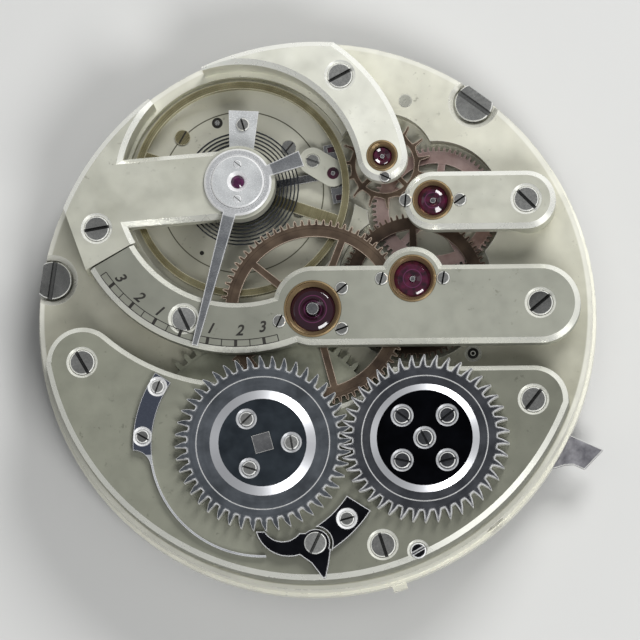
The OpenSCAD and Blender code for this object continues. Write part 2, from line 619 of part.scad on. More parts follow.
line_r = 0.8;
ratchet_to = dir(barrel_p, crown_p);
module wind_wheel(p, n, to, s, r_in) translate([p[0], p[1], 0]) difference() {
    translate([0, 0, z_wind]) linear_extrude(wind_h) difference() {
        teeth(n, to, wolf_tooth(n * wind_m / 2, wind_m, s));
        circle(r_in);
    }
    // Grained step on the top face
    translate([0, 0, z_wind + wind_h]) rotate_extrude()
        polygon([[n * wind_m / 2 - 4.3 * wind_m, -0.06], [n * wind_m / 2 - 4.2 * wind_m, -0.06],
                 [n * wind_m / 2 - 4.2 * wind_m, 1], [n * wind_m / 2 - 4.3 * wind_m, 1]]);
}
module ratchet_wheel() color("#6d7077") difference() {
    wind_wheel(barrel_p, ratchet_teeth, ratchet_to, 1, 0.01);
    translate([barrel_p[0], barrel_p[1], 0]) rotate(15) translate([-arbor_square / 2 - fit, -arbor_square / 2 - fit, 0])
        cube([arbor_square + 2 * fit, arbor_square + 2 * fit, 20]);
    for (a = ratchet_screw_dirs) screw_hole(barrel_p + polar(2.2, a), 0.3, z_top, z_top + 3);
}
ratchet_screw_dirs = [0, 124, 243];
cap_h = 0.25;
z_cap = z_wind + wind_h;
module bevel_cap(p, r_disc, r_foot, h) translate([p[0], p[1], z_cap]) rotate_extrude()
    polygon([[0, 0], [r_foot, 0], [r_foot, 0.03], [r_disc, h], [0, h]]);
module ratchet_cap() color("#23262c") difference() {
    bevel_cap(barrel_p, 3.37, 4.06, cap_h);
    translate([barrel_p[0], barrel_p[1], 0]) rotate(15) translate([-arbor_square / 2 - fit, -arbor_square / 2 - fit, 0])
        cube([arbor_square + 2 * fit, arbor_square + 2 * fit, 20]);
    for (a = ratchet_screw_dirs) {
        sink(barrel_p + polar(2.2, a), 0.55, z_cap + cap_h, 0.2);
        screw_hole(barrel_p + polar(2.2, a), 0.3, z_cap - 1, z_cap + 1);
    }
}
module ratchet_screws() color("#7d8086") for (a = ratchet_screw_dirs)
    screw(barrel_p + polar(2.2, a), 0.55, z_cap + cap_h - 0.02, 0.18, 0.3, 0.9, a + 100);

core_boss_r = 3.66;
module crown_wheel() color("#6d7077")
    wind_wheel(crown_p, crown_teeth, ratchet_to + 180 + 180 / crown_teeth, -1, core_boss_r + run);
module crown_core() color("#1b1d22") difference() {
    union() {
        post(crown_p, core_boss_r, z_top, z_cap + 0.04);
        translate([0, 0, 0.03]) bevel_cap(crown_p, 3.66, 4.17, cap_h);
    }
    for (k = [0 : 4]) {
        sink(crown_screw_p(k), 0.62, z_cap + cap_h + 0.03, 0.2);
        screw_hole(crown_screw_p(k), 0.3, z_top - 1, z_cap + 1);
    }
}
module crown_screws() color("#7d8086") for (k = [0 : 4])
    screw(crown_screw_p(k), 0.62, z_cap + cap_h + 0.01, 0.18, 0.3, 1.8, -62 + 25 * k);

// Click, its bridle and its spring, on top of the barrel bridge
click_h = 0.6;
click_r = 1.1;
ratchet_tip_r = ratchet_teeth * wind_m / 2 + wolf_add * wind_m;
click_p = barrel_p + polar(8.7, -62.5);
beak_r = ratchet_tip_r + 0.06;
module click() color("#1f2126") translate([0, 0, z_wind]) linear_extrude(click_h) difference() {
    translate(click_p) {
        circle(click_r);
        // Beak between two arcs, which reaches up to the teeth
        difference() {
            intersection() {
                translate([-2, 1.65]) circle(2.63);
                polygon([[-5, -1.2], [0, -1.2], [0, 0.8], [-1.2, 0.8], [-2.5, 1.7], [-5, 1.7]]);
            }
            translate([-2.5, 1.77]) circle(1.6);
        }
        // Pointed tail
        polygon([[0, 0], [-1.28, -0.8], [-0.3, -1.5], [0.55, -2.63], [0.78, -2.63], [1, -1.6], [1.15, -0.45]]);
    }
    translate(barrel_p) circle(beak_r);
    translate(click_p) circle(0.5 + run);
}
module click_screw() color("#8b8d90") difference() {
    union() {
        post(click_p, 0.5, z_top, z_wind + click_h + 0.05);
        screw(click_p, 0.85, z_wind + click_h + 0.35, 0.3, 0.3, 1.9, 65);
    }
}
// Plate between the two wheels: a piece of a ring round the barrel with a notch for the click
bridle_dirs = [297.5, 327.5];
bridle_in = ratchet_tip_r + 0.85;
bridle_out = bridle_in + 2.15;
bridle_p = barrel_p + polar((bridle_in + bridle_out) / 2, 317.7);
module click_bridle() color("#1f2126") difference() {
    translate([barrel_p[0], barrel_p[1], z_top])
        rotate_extrude(angle = bridle_dirs[1] - bridle_dirs[0], start = bridle_dirs[0])
            translate([bridle_in, 0]) square([bridle_out - bridle_in, click_h]);
    post(click_p, click_r + 0.2, z_top - 1, z_top + 2);
    sink(bridle_p, 0.55, z_top + click_h, 0.25);
    screw_hole(bridle_p, 0.3, z_top - 1, z_top + 2);
}
crown_tip_r = crown_teeth * wind_m / 2 + wolf_add * wind_m;

spring_r = 8.55;
spring_w = 0.16;
foot_out = spring_r + 1.4;
foot_dirs = [146, 181];
// The blade stops short of the click, so that the click can lift
blade_end = 271.5;
spring_screw_p = [for (a = [151, 176]) barrel_p + polar(spring_r + 0.7, a)];
module click_spring() color("#4d5260") difference() {
    union() {
        // Blade
        translate([barrel_p[0], barrel_p[1], z_top]) rotate_extrude(angle = blade_end - foot_dirs[0], start = foot_dirs[0])
            translate([spring_r, 0]) square([spring_w, 0.4]);
        // Foot
        translate([barrel_p[0], barrel_p[1], z_top]) rotate_extrude(angle = foot_dirs[1] - foot_dirs[0], start = foot_dirs[0])
            translate([spring_r, 0]) square([foot_out - spring_r, 0.45]);
        // Curl of the foot into the blade
        difference() {
            translate([barrel_p[0], barrel_p[1], z_top]) rotate_extrude(angle = 9, start = foot_dirs[1] - eps)
                translate([spring_r, 0]) square([foot_out - spring_r, 0.45]);
            post(barrel_p + polar(foot_out + 0.15, foot_dirs[1] + 9.2), 1.38, z_top - 1, z_top + 1);
        }
    }
    for (p = spring_screw_p) {
        sink(p, 0.5, z_top + 0.45, 0.2);
        screw_hole(p, 0.3, z_top - 1, z_top + 1);
    }
}
// Screws of the click's plate and spring
module winding_screws() color("#8b8d90") {
    screw(bridle_p, 0.55, z_top + click_h - 0.02, 0.23, 0.3, 1.4, 15);
    for (k = [0, 1]) screw(spring_screw_p[k], 0.5, z_top + 0.43, 0.18, 0.3, 1.2, 70 - 100 * k);
}

// Going train
module centre_wheel() color("#8a6a55")
    wheel(centre_p, centre_teeth, centre_m, dir(centre_p, third_p), centre_wheel_z, 5, 69);
module centre_arbor() color("#8f9196") {
    post(centre_p, centre_r, -flange_h - 1.6, centre_wheel_z + eps);
    post(centre_p, arbor_r, centre_wheel_z, z_under);
    post(centre_p, centre_set[3], z_under - 0.1, z_top + 0.1);
    pinion(centre_p, centre_leaves, barrel_m, dir(barrel_p, centre_p), z_plate + 0.05, 0.85);
}
module third_wheel() color("#8a6a55")
    wheel(third_p, third_teeth, third_m, dir(third_p, fourth_p), third_wheel_z, 5, 20);
module third_arbor() color("#8f9196") {
    train_arbor(third_p, third_set, third_floor_z);
    pinion(third_p, third_leaves, centre_m, dir(centre_p, third_p), centre_wheel_z - 0.15, wheel_h + 0.3);
}
module fourth_wheel() color("#c49a86")
    wheel(fourth_p, fourth_teeth, fourth_m, dir(fourth_p, escape_p), fourth_wheel_z, 5, 10);
module fourth_arbor() color("#8f9196") {
    train_arbor(fourth_p, fourth_set, deep_floor_z);
    pinion(fourth_p, fourth_leaves, third_m, dir(third_p, fourth_p), third_wheel_z - 0.12, wheel_h + 0.3);
}
module train_arbor(p, s, floor_z) {
    post(p, pivot_r, -flange_h + 0.3, floor_z + 0.1);
    post(p, arbor_r, floor_z + 0.08, z_under);
    post(p, s[3], z_under - 0.1, z_top - 0.3);
}
module escape_wheel() color("#8a6a55") translate([escape_p[0], escape_p[1], escape_wheel_z]) linear_extrude(lever_h)
    difference() {
        polygon(ring_points(15, 0, [[escape_r - 0.85, 0], [escape_r - 0.75, 0.24], [escape_r - 0.1, 0.34],
                                    [escape_r, 0.42], [escape_r, 0.47], [escape_r - 0.5, 0.46],
                                    [escape_r - 0.85, 0.52]]));
        difference() {
            circle(escape_r - 1.25);
            circle(0.8);
            for (k = [0 : 3]) rotate(45 + 90 * k) translate([0, -0.2]) square([escape_r, 0.4]);
        }
        circle(arbor_r + fit);
    }
module escape_arbor() color("#8f9196") {
    train_arbor(escape_p, escape_set, deep_floor_z);
    pinion(escape_p, escape_leaves, fourth_m, dir(fourth_p, escape_p), fourth_wheel_z - 0.1, wheel_h + 0.2);
}

// Lever escapement
lever_dir = dir(pallet_p, balance_p);
lever_len = norm(balance_p - pallet_p);
roller_pin_r = 1.25;
// Room from the tips of the escape wheel, which lasts over the lever's whole swing
stone_clear = 0.25;
lever_clear = 0.13;
module pallet_lever() color("#9da0a4") translate([pallet_p[0], pallet_p[1], escape_wheel_z])
    linear_extrude(lever_h) difference() {
        rotate(lever_dir) union() {
            circle(0.75);
            translate([0, -0.3]) square([lever_len - roller_pin_r - 0.45, 0.6]);
            // Fork
            translate([lever_len - roller_pin_r - 0.7, -0.65]) square([0.95, 1.3]);
            // Pallet arms
            translate([-0.6, -2.3]) square([1.0, 4.6]);
        }
        rotate(lever_dir) translate([lever_len - roller_pin_r - 0.3, -0.26]) square([2, 0.52]);
        translate(escape_p - pallet_p) circle(escape_r + lever_clear);
        circle(pivot_r + fit);
        stones_2d(fit);
    }
// The two pallet stones, cut clear of the tips of the escape wheel
module stones_2d(grow) difference() {
    rotate(lever_dir) for (y = [-1.9, 1.9])
        translate([-1.1, y - 0.2 - grow]) square([1.2 + grow, 0.4 + 2 * grow]);
    translate(escape_p - pallet_p) circle(escape_r + stone_clear);
}
module pallet_stones() color("#7a1538") translate([pallet_p[0], pallet_p[1], escape_wheel_z])
    linear_extrude(lever_h) stones_2d(0);
module pallet_arbor() color("#8f9196") post(pallet_p, pivot_r, deep_floor_z - 0.5, pallet_cock_top - 0.02);

module balance_wheel() color("#b39a5e") {
    ring(balance_p, balance_r - rim_w, balance_r, rim_z, rim_z + rim_h);
    translate([balance_p[0], balance_p[1], arm_z]) linear_extrude(arm_h) difference() {
        union() {
            circle(1.1);
            rotate(-19) square([2 * (balance_r - rim_w / 2), 0.9], center = true);
        }
        circle(staff_mid_r + fit);
    }
}
staff_mid_r = 0.4;
module balance_staff() color("#a2a4a8") {
    post(balance_p, staff_r, -flange_h + 0.3, balance_floor_z + 0.1);
    post(balance_p, staff_mid_r, balance_floor_z + 0.08, z_under - 0.1);
    post(balance_p, staff_r, z_under - 0.12, z_top - 0.02);
}
roller_z = escape_wheel_z + lever_h + 0.12;
module roller() color("#8f9196") difference() {
    union() {
        post(balance_p, 1.6, roller_z, roller_z + 0.2);
        post(balance_p + polar(roller_pin_r, lever_dir + 180), 0.2, roller_z - 0.06, roller_z + 0.1);
    }
    post(balance_p, staff_mid_r + fit, roller_z - 1, roller_z + 1);
}
module hair_collet() color("#b59a5b") ring(balance_p, staff_mid_r + fit, hair_in - hair_t / 2 - 0.05, hair_z - 0.05, hair_z + hair_h + 0.1);

// Motion work on the dial side
motion_m = 0.15;
minute_p = polar(motion_m * 24, 330);
motion_r = norm(minute_p) + 19.1 * motion_m + 0.25;
hour_m = motion_m * 48 / 50;
motion_h = 0.3;
module cannon_pinion() color("#9a9ca0") difference() {
    union() {
        post(centre_p, 0.72, -flange_h - 2.2, motion_z - 0.05);
        pinion(centre_p, 12, motion_m, dir(minute_p, centre_p), motion_z - 0.4, 0.35);
    }
    post(centre_p, centre_r + fit, -flange_h - 3, motion_z);
}
module minute_wheel() color("#b59a5b") difference() {
    union() {
        translate([minute_p[0], minute_p[1], motion_z - 0.38]) linear_extrude(motion_h)
            teeth(36, dir(minute_p, centre_p), wheel_tooth(36 * motion_m / 2, motion_m));
        pinion(minute_p, 10, hour_m, dir(centre_p, minute_p), motion_z - 0.78, 0.42);
    }
    post(minute_p, 0.4, -flange_h - 1, motion_z);
}
module hour_wheel() color("#b59a5b") difference() {
    union() {
        translate([0, 0, motion_z - 0.76]) linear_extrude(motion_h)
            teeth(40, dir(centre_p, minute_p), wheel_tooth(40 * hour_m / 2, hour_m));
        post(centre_p, 1.15, -flange_h - 1.5, motion_z - 0.5);
    }
    post(centre_p, 0.72 + run, -flange_h - 3, motion_z);
}

// Pin-set lever that stands out of the edge beside the winding stem
setting_p = polar(flange_r - 4.3, -33);
setting_tab_p = polar(flange_r + 1.86, -27.56);
lever_sink_z = -flange_h + 0.6;
module setting_lever_shape(z0, z1, grow) translate([0, 0, z0]) linear_extrude(z1 - z0) {
    translate(setting_p) circle(1.3 + grow);
    translate(setting_tab_p) rotate(-24.5) polygon([
        [-6.6 - 2 * grow, -2.3 - grow], [-1.9, -1.8 - grow], [-1.3, -1.25 - grow], [-0.7, -0.95 - grow],
        [0.22 + grow, -0.95 - grow], [0.9 + grow, 1 + grow], [-2.5, 1 + grow], [-6.2 - 2 * grow, -0.1 + grow]
    ]);
}
module setting_lever() color("#6a6c70") difference() {
    setting_lever_shape(-flange_h + 0.05, lever_sink_z - 0.05, 0);
    post(setting_p, 0.5 + run, -flange_h - 1, 0);
}
module setting_lever_screw() color("#8b8d90") union() {
    post(setting_p, 0.5, -flange_h + 0.04, lever_sink_z);
    post(setting_p, 0.35, lever_sink_z - 0.1, lever_sink_z + 0.9);
    difference() {
        post(setting_p, 0.8, -flange_h - 0.25, -flange_h + 0.05);
        translate([setting_p[0] - 1, setting_p[1] - 0.09, -flange_h - 0.4]) cube([2, 0.18, 0.3]);
    }
}

main_plate();
barrel_bridge();
train_bridge();
fourth_cock();
escape_cock();
balance_cock();
pallet_cock();
bridge_screws();
pallet_cock_screw();
case_screws();
jewel_screws();
centre_setting();
third_setting();
fourth_setting();
escape_setting();
train_jewels();
endstone_cap();
endstone();
cap_screws();
index();
stud_carrier();
stud_screw();
hairspring();
barrel_drum();
barrel_cover();
mainspring();
barrel_arbor();
ratchet_wheel();
ratchet_cap();
ratchet_screws();
crown_wheel();
crown_core();
crown_screws();
click();
click_screw();
click_bridle();
click_spring();
winding_screws();
centre_wheel();
centre_arbor();
third_wheel();
third_arbor();
fourth_wheel();
fourth_arbor();
escape_wheel();
escape_arbor();
pallet_lever();
pallet_stones();
pallet_arbor();
balance_wheel();
balance_staff();
roller();
hair_collet();
cannon_pinion();
minute_wheel();
hour_wheel();
setting_lever();
setting_lever_screw();
detent_screw();
plate_pins();
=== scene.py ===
import math

import bpy
from mathutils import Matrix, Vector


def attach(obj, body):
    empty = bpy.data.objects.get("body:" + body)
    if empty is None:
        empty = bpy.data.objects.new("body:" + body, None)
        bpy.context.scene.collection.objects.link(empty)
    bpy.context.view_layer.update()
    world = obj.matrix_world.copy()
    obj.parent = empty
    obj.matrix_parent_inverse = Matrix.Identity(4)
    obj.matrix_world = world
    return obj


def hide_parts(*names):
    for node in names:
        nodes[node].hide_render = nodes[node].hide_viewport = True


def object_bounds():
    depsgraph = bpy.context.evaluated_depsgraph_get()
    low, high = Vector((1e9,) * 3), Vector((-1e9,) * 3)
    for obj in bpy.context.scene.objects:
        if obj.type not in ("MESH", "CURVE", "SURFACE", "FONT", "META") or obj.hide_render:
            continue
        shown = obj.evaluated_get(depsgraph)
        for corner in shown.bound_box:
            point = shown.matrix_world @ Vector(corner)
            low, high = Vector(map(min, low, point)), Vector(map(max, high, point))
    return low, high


MM = 0.001

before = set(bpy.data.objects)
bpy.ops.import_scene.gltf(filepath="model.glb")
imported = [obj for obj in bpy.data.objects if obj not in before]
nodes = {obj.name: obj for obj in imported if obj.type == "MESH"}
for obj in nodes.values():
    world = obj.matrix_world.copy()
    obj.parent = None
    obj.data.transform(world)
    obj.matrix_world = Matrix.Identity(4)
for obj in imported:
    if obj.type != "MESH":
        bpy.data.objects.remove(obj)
cad_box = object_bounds()
scene = bpy.context.scene


# Places in plan, as in the part's source
def polar(radius, angle):
    return (radius * math.cos(math.radians(angle)), radius * math.sin(math.radians(angle)))


def plus(p, q):
    return (p[0] + q[0], p[1] + q[1])


def mesh_distance(tooth_module, teeth, mate_teeth):
    """Distance between the axes of two wheels that mesh."""
    return tooth_module * (teeth + mate_teeth) / 2


CENTRE = (0.0, 0.0)
BALANCE = polar(11.4, 120.2)
THIRD = polar(mesh_distance(0.177, 80, 10), 16.65)
FOURTH = plus(THIRD, polar(mesh_distance(0.1473, 75, 10), 75.5))
BARREL = polar(mesh_distance(0.2846, 66, 12), 250.3)
CROWN = plus(BARREL, polar(mesh_distance(0.2874, 44, 42), 1.2))
BUSH = polar(12.5, -14.3)
SPRING_FOOT = (-12.6, -7.6)
BRIDGE_TOP = 5.2
SINK_FLOOR = 1.0


# Materials
def linear(hex_code):
    """The linear colour of a hex code."""
    out = []
    for i in (1, 3, 5):
        c = int(hex_code[i:i + 2], 16) / 255
        out.append(c / 12.92 if c <= 0.04045 else ((c + 0.055) / 1.055) ** 2.4)
    return (*out, 1.0)


# Bounds between walls, bevels and level faces, as the upright part of a face's direction
WALL_TO_BEVEL = (0.2, 0.35)
LEVEL_TO_BEVEL = (0.985, 0.95)
WALL_FADE = (0.2, 0.3)
# Bounds of the line along an edge, as the cosine between the rounded and the true direction of a face
EDGE_TURN = (0.98, 0.88)
EDGE_SAMPLES = 6
# Bounds of the open share round a point, from deep in a slot to a free face
SLOT_OPEN = (0.45, 0.85)
# The range in which most values of a noise lie
NOISE_MIDDLE = (0.3, 0.7)
LINE_FADE = 0.02
TONE_FADE = 0.05


class Look:
    """A material with short helpers for its nodes."""

    def __init__(self, name):
        self.mat = bpy.data.materials.new(name)
        self.mat.use_nodes = True
        self.tree = self.mat.node_tree
        self.bsdf = self.tree.nodes["Principled BSDF"]
        self.coord = self.new("ShaderNodeTexCoord").outputs["Object"]

    def new(self, kind, **values):
        node = self.tree.nodes.new(kind)
        for key, value in values.items():
            setattr(node, key, value)
        return node

    def link(self, a, b):
        self.tree.links.new(a, b)

    def noise(self, size, detail=3.0, rough=0.55, vector=None):
        """Noise whose features are about size millimetres across, from 0 to 1."""
        node = self.new("ShaderNodeTexNoise")
        node.inputs["Scale"].default_value = 1.0 / (size * MM)
        node.inputs["Detail"].default_value = detail
        node.inputs["Roughness"].default_value = rough
        self.link(vector or self.coord, node.inputs["Vector"])
        return node.outputs["Fac"]

    def ramp(self, value, low, high, a=0.0, b=1.0):
        """Goes from a to b as the value goes from low to high, and stays there beyond."""
        node = self.new("ShaderNodeMapRange")
        self.link(value, node.inputs["Value"])
        for key, v in zip(("From Min", "From Max", "To Min", "To Max"), (low, high, a, b)):
            node.inputs[key].default_value = v
        return node.outputs["Result"]

    def compute(self, kind, a, b=0.0):
        node = self.new("ShaderNodeMath", operation=kind)
        for socket, v in zip(node.inputs, (a, b)):
            if isinstance(v, (int, float)):
                socket.default_value = v
            else:
                self.link(v, socket)
        return node.outputs[0]

    def mix(self, factor, a, b):
        """Colour a where the factor is 0, and colour b where it is 1."""
        node = self.new("ShaderNodeMix", data_type="RGBA")
        self.link(factor, node.inputs["Factor"])
        for socket, v in ((node.inputs[6], a), (node.inputs[7], b)):
            if isinstance(v, tuple):
                socket.default_value = v
            else:
                self.link(v, socket)
        return node.outputs[2]

    def upright(self):
        """The upright part of a face's direction: 1 on level faces, 0 on walls."""
        geometry = self.new("ShaderNodeNewGeometry")
        split = self.new("ShaderNodeSeparateXYZ")
        self.link(geometry.outputs["Normal"], split.inputs[0])
        return self.compute("ABSOLUTE", split.outputs["Z"])

    def slope(self):
        """1 on sloped faces such as bevels, 0 on faces that are level or upright."""
        z = self.upright()
        return self.compute("MULTIPLY", self.ramp(z, *WALL_TO_BEVEL), self.ramp(z, *LEVEL_TO_BEVEL))

    def wall(self):
        """1 on upright faces."""
        return self.ramp(self.upright(), *WALL_FADE, 1.0, 0.0)

    def place(self, axis):
        """One coordinate of the shaded point, in millimetres."""
        split = self.new("ShaderNodeSeparateXYZ")
        self.link(self.coord, split.inputs[0])
        return self.compute("DIVIDE", split.outputs[axis], MM)

    def radius(self, centre):
        """Distance from an upright axis, in millimetres."""
        move = self.new("ShaderNodeVectorMath", operation="SUBTRACT")
        self.link(self.coord, move.inputs[0])
        move.inputs[1].default_value = (centre[0] * MM, centre[1] * MM, 0.0)
        flat = self.new("ShaderNodeVectorMath", operation="MULTIPLY")
        self.link(move.outputs[0], flat.inputs[0])
        flat.inputs[1].default_value = (1.0, 1.0, 0.0)
        length = self.new("ShaderNodeVectorMath", operation="LENGTH")
        self.link(flat.outputs[0], length.inputs[0])
        return self.compute("DIVIDE", length.outputs["Value"], MM)

    def inside(self, centre, radius, fade):
        """1 within a radius of an upright axis."""
        return self.ramp(self.radius(centre), radius, radius + fade, 1.0, 0.0)

    def circle(self, centre, radius, width):
        """1 on a thin circle round an upright axis."""
        off = self.compute("ABSOLUTE", self.compute("SUBTRACT", self.radius(centre), radius))
        return self.ramp(off, width / 2, width / 2 + LINE_FADE, 1.0, 0.0)

    def rings(self, centre, size):
        """Fine turned rings round an axis."""
        join = self.new("ShaderNodeCombineXYZ")
        self.link(self.compute("MULTIPLY", self.radius(centre), MM), join.inputs[0])
        return self.noise(size, detail=2.0, rough=0.6, vector=join.outputs[0])

    def brink(self, reach):
        """1 along a piece's sharp edges."""
        soft = self.new("ShaderNodeBevel", samples=EDGE_SAMPLES)
        soft.inputs["Radius"].default_value = reach * MM
        geometry = self.new("ShaderNodeNewGeometry")
        dot = self.new("ShaderNodeVectorMath", operation="DOT_PRODUCT")
        self.link(soft.outputs["Normal"], dot.inputs[0])
        self.link(geometry.outputs["Normal"], dot.inputs[1])
        return self.ramp(dot.outputs["Value"], *EDGE_TURN)

    def crevice(self, reach):
        """1 deep in a piece's own slots and corners."""
        node = self.new("ShaderNodeAmbientOcclusion", only_local=True)
        node.inputs["Distance"].default_value = reach * MM
        return self.ramp(node.outputs["AO"], *SLOT_OPEN, 1.0, 0.0)

    def bump(self, height, depth, strength):
        node = self.new("ShaderNodeBump")
        node.inputs["Strength"].default_value = strength
        node.inputs["Distance"].default_value = depth * MM
        self.link(height, node.inputs["Height"])
        self.link(node.outputs["Normal"], self.bsdf.inputs["Normal"])

    def set(self, **values):
        """Sets the shader's inputs and gives the material."""
        for key, v in values.items():
            socket = self.bsdf.inputs[key.replace("_", " ")]
            if isinstance(v, (int, float, tuple)):
                socket.default_value = v
            else:
                self.link(v, socket)
        return self.mat


# Frosted metal: sizes of its marks, the values of the noise at which they show, how far, and its finish
CLOUD_SIZE = 5.0
CLOUD_RANGE = (0.35, 0.68)
CLOUD_SHARE = 0.35
FLECK_SIZE = 0.55
FLECK_RANGE = (0.64, 0.74)
FLECK_SHARE = 0.55
PATCH_SIZE = 3.4
PATCH_RANGE = (0.42, 0.62)
SCRIBED_WIDTH = 0.07
SCRIBED_HEIGHT = (0.04, 0.05)
FLOOR_SHADE = 0.08
RIM_FADE = 0.1
RIM_SHARE = 0.8
SHEEN_SIZE = 1.4
SHEEN_ROUGH = (0.42, 0.56)
POLISH = 0.2
FROST_SIZE = 0.07
FROST_DEPTH = 0.006
FROST_STRENGTH = 0.35
FROST_METAL = 0.55


def frosted(name, pale, dark, spot, polish_highlight, fade=None, scribed=None, brink=None, rim=None):
    """Frosted nickel with tarnish, small dark spots, and polished bevels whose pale colour is a painted
    highlight.

    fade is an axis with two places on it: painted shade, full at the first place and none at the second,
    stands in for light falling unevenly.
    scribed is a circle cut with a point in a level floor: its centre, its radius and the floor's height.
    brink is the width of the painted highlight along sharp edges.
    rim is a radius round the middle, and outside it the metal is painted bright, a painted highlight on the
    flange.
    """
    look = Look(name)
    cloud = look.ramp(look.noise(CLOUD_SIZE, detail=4.0), *CLOUD_RANGE)
    # Painted shade: the metal darkens along one axis, as where less light falls
    if fade:
        axis, shaded_end, lit_end = fade
        side = look.ramp(look.place(axis), shaded_end, lit_end, 1.0, 0.0)
        cloud = look.compute("ADD", look.compute("MULTIPLY", cloud, CLOUD_SHARE), side)
        cloud = look.ramp(cloud, 0.0, 1.0 + CLOUD_SHARE)
    colour = look.mix(cloud, linear(pale), linear(dark))
    fleck = look.ramp(look.noise(FLECK_SIZE, detail=2.0, rough=0.7), *FLECK_RANGE, 0.0, FLECK_SHARE)
    patch = look.ramp(look.noise(PATCH_SIZE, detail=2.0), *PATCH_RANGE)
    colour = look.mix(look.compute("MULTIPLY", fleck, patch), colour, linear(spot))
    if scribed:
        centre, radius, floor_height = scribed
        height = look.compute("ABSOLUTE", look.compute("SUBTRACT", look.place("Z"), floor_height))
        level = look.ramp(height, *SCRIBED_HEIGHT, 1.0, 0.0)
        # Painted shade: the level floor of the sink is darkened a little
        colour = look.mix(look.compute("MULTIPLY", level, FLOOR_SHADE), colour, linear(dark))
        line = look.compute("MULTIPLY", look.circle(centre, radius, SCRIBED_WIDTH), level)
        colour = look.mix(line, colour, linear(spot))
    # Painted highlight: the flange outside the rim radius takes the pale bevel colour
    if rim:
        outside = look.ramp(look.radius(CENTRE), rim, rim + RIM_FADE, 0.0, RIM_SHARE)
        colour = look.mix(outside, colour, linear(polish_highlight))
    # Painted highlight: bevels and sharp edges take a pale colour; their lower roughness is the real polish
    edge = look.slope()
    if brink:
        edge = look.compute("MAXIMUM", edge, look.brink(brink))
    colour = look.mix(edge, colour, linear(polish_highlight))
    sheen = look.ramp(look.noise(SHEEN_SIZE), *NOISE_MIDDLE, *SHEEN_ROUGH)
    sheen = look.compute("SUBTRACT", sheen, look.compute("MULTIPLY", edge, POLISH))
    look.bump(look.noise(FROST_SIZE, detail=2.0, rough=0.7), FROST_DEPTH, FROST_STRENGTH)
    return look.set(Base_Color=colour, Roughness=sheen, Metallic=FROST_METAL)


# Turned metal: sizes of its marks, the finish of its walls and edges, and the reach of its painted
# highlights
RING_SIZE = 0.12
GRAIN_SIZE = 0.16
GRAIN_DEPTH = 0.004
GRAIN_STRENGTH = 0.3
LINE_WIDTH = 0.04
WALL_METAL = 0.3
SLOT_REACH = 0.3
EDGE_ROUGH = 0.34
GULLET_BEVEL = 0.3
GULLET_FADE = 0.25


def toned(name, pale, dark, rough, centre=None, metallic=0.9, edge=None, wall=None, line=None, inner=None,
          gullets=None, slot=None, brink=None, edge_metal=0.5, patch=1.6):
    """Metal with tone changes, and turned rings where a centre is given.

    rough is the least and the most roughness.
    edge is the colour of the painted highlight on bevels, wall the colour of painted light on upright faces,
    and slot the colour of painted shade deep in a slot.
    brink is the width of the painted highlight along sharp edges, and edge_metal how metallic that line is.
    line is the centre and radius of a circle painted as a highlight, and inner a centre, a radius and the
    colour inside it.
    gullets is a wheel's centre and the radius up to which the edges at the feet of its teeth take the
    painted highlight.
    patch is the size of the tone changes.
    """
    look = Look(name)
    tone = look.ramp(look.noise(patch, detail=4.0), *NOISE_MIDDLE)
    colour = look.mix(tone, linear(pale), linear(dark))
    grain = look.rings(centre, RING_SIZE) if centre else look.noise(GRAIN_SIZE, detail=2.0)
    finish = look.ramp(grain, *NOISE_MIDDLE, *rough)
    metal = metallic
    if inner:
        middle, radius, inner_colour = inner
        colour = look.mix(look.inside(middle, radius, TONE_FADE), colour, linear(inner_colour))
    # Painted highlight: a thin pale circle
    if line:
        colour = look.mix(look.circle(*line, LINE_WIDTH), colour, linear(edge))
    # Painted light: upright faces take a paler colour, as where light falls on them
    if wall:
        side = look.wall()
        colour = look.mix(side, colour, linear(wall))
        metal = look.ramp(side, 0.0, 1.0, metallic, WALL_METAL)
    # Painted shade: deep in slots and corners the colour darkens
    if slot:
        colour = look.mix(look.crevice(SLOT_REACH), colour, linear(slot))
    # Painted highlight: bevels, sharp edges and the feet of teeth take the pale edge colour
    if edge:
        slope = look.slope()
        if brink:
            slope = look.compute("MAXIMUM", slope, look.brink(brink))
        if gullets:
            feet = look.inside(*gullets, GULLET_FADE)
            feet = look.compute("MULTIPLY", feet, look.brink(GULLET_BEVEL))
            slope = look.compute("MAXIMUM", slope, feet)
        colour = look.mix(slope, colour, linear(edge))
        finish = look.compute("MAXIMUM", finish, look.compute("MULTIPLY", slope, EDGE_ROUGH))
        metal = look.compute("MINIMUM", metal, look.ramp(slope, 0.0, 1.0, 1.0, edge_metal))
    look.bump(grain, GRAIN_DEPTH, GRAIN_STRENGTH)
    return look.set(Base_Color=colour, Roughness=finish, Metallic=metal)


# Ruby: sizes of its tones and painted reflection rings, and its roughness
STONE_TONE = 0.5
STONE_SHEEN = 0.3
STONE_ROUGH = (0.03, 0.1)
STONE_RING = 0.05


def jewel(name, pale, dark, shade=None, ring=None, rings=()):
    """Polished ruby.

    shade is a centre, a radius and the darker colour inside it.
    ring is the colour of the pale rings in the stones, a painted reflection of the light bent by their oil
    sinks, and rings are their centres and radii.
    """
    look = Look(name)
    tone = look.ramp(look.noise(STONE_TONE, detail=2.0), *NOISE_MIDDLE)
    colour = look.mix(tone, linear(pale), linear(dark))
    if shade:
        middle, radius, shade_colour = shade
        colour = look.mix(look.inside(middle, radius, TONE_FADE), colour, linear(shade_colour))
    # Painted reflection: pale rings in the stones
    for centre, radius in rings:
        colour = look.mix(look.circle(centre, radius, STONE_RING), colour, linear(ring))
    sheen = look.ramp(look.noise(STONE_SHEEN, detail=1.0), *NOISE_MIDDLE, *STONE_ROUGH)
    return look.set(Base_Color=colour, Roughness=sheen, Transmission_Weight=0.25, Coat_Weight=0.25, IOR=1.6)


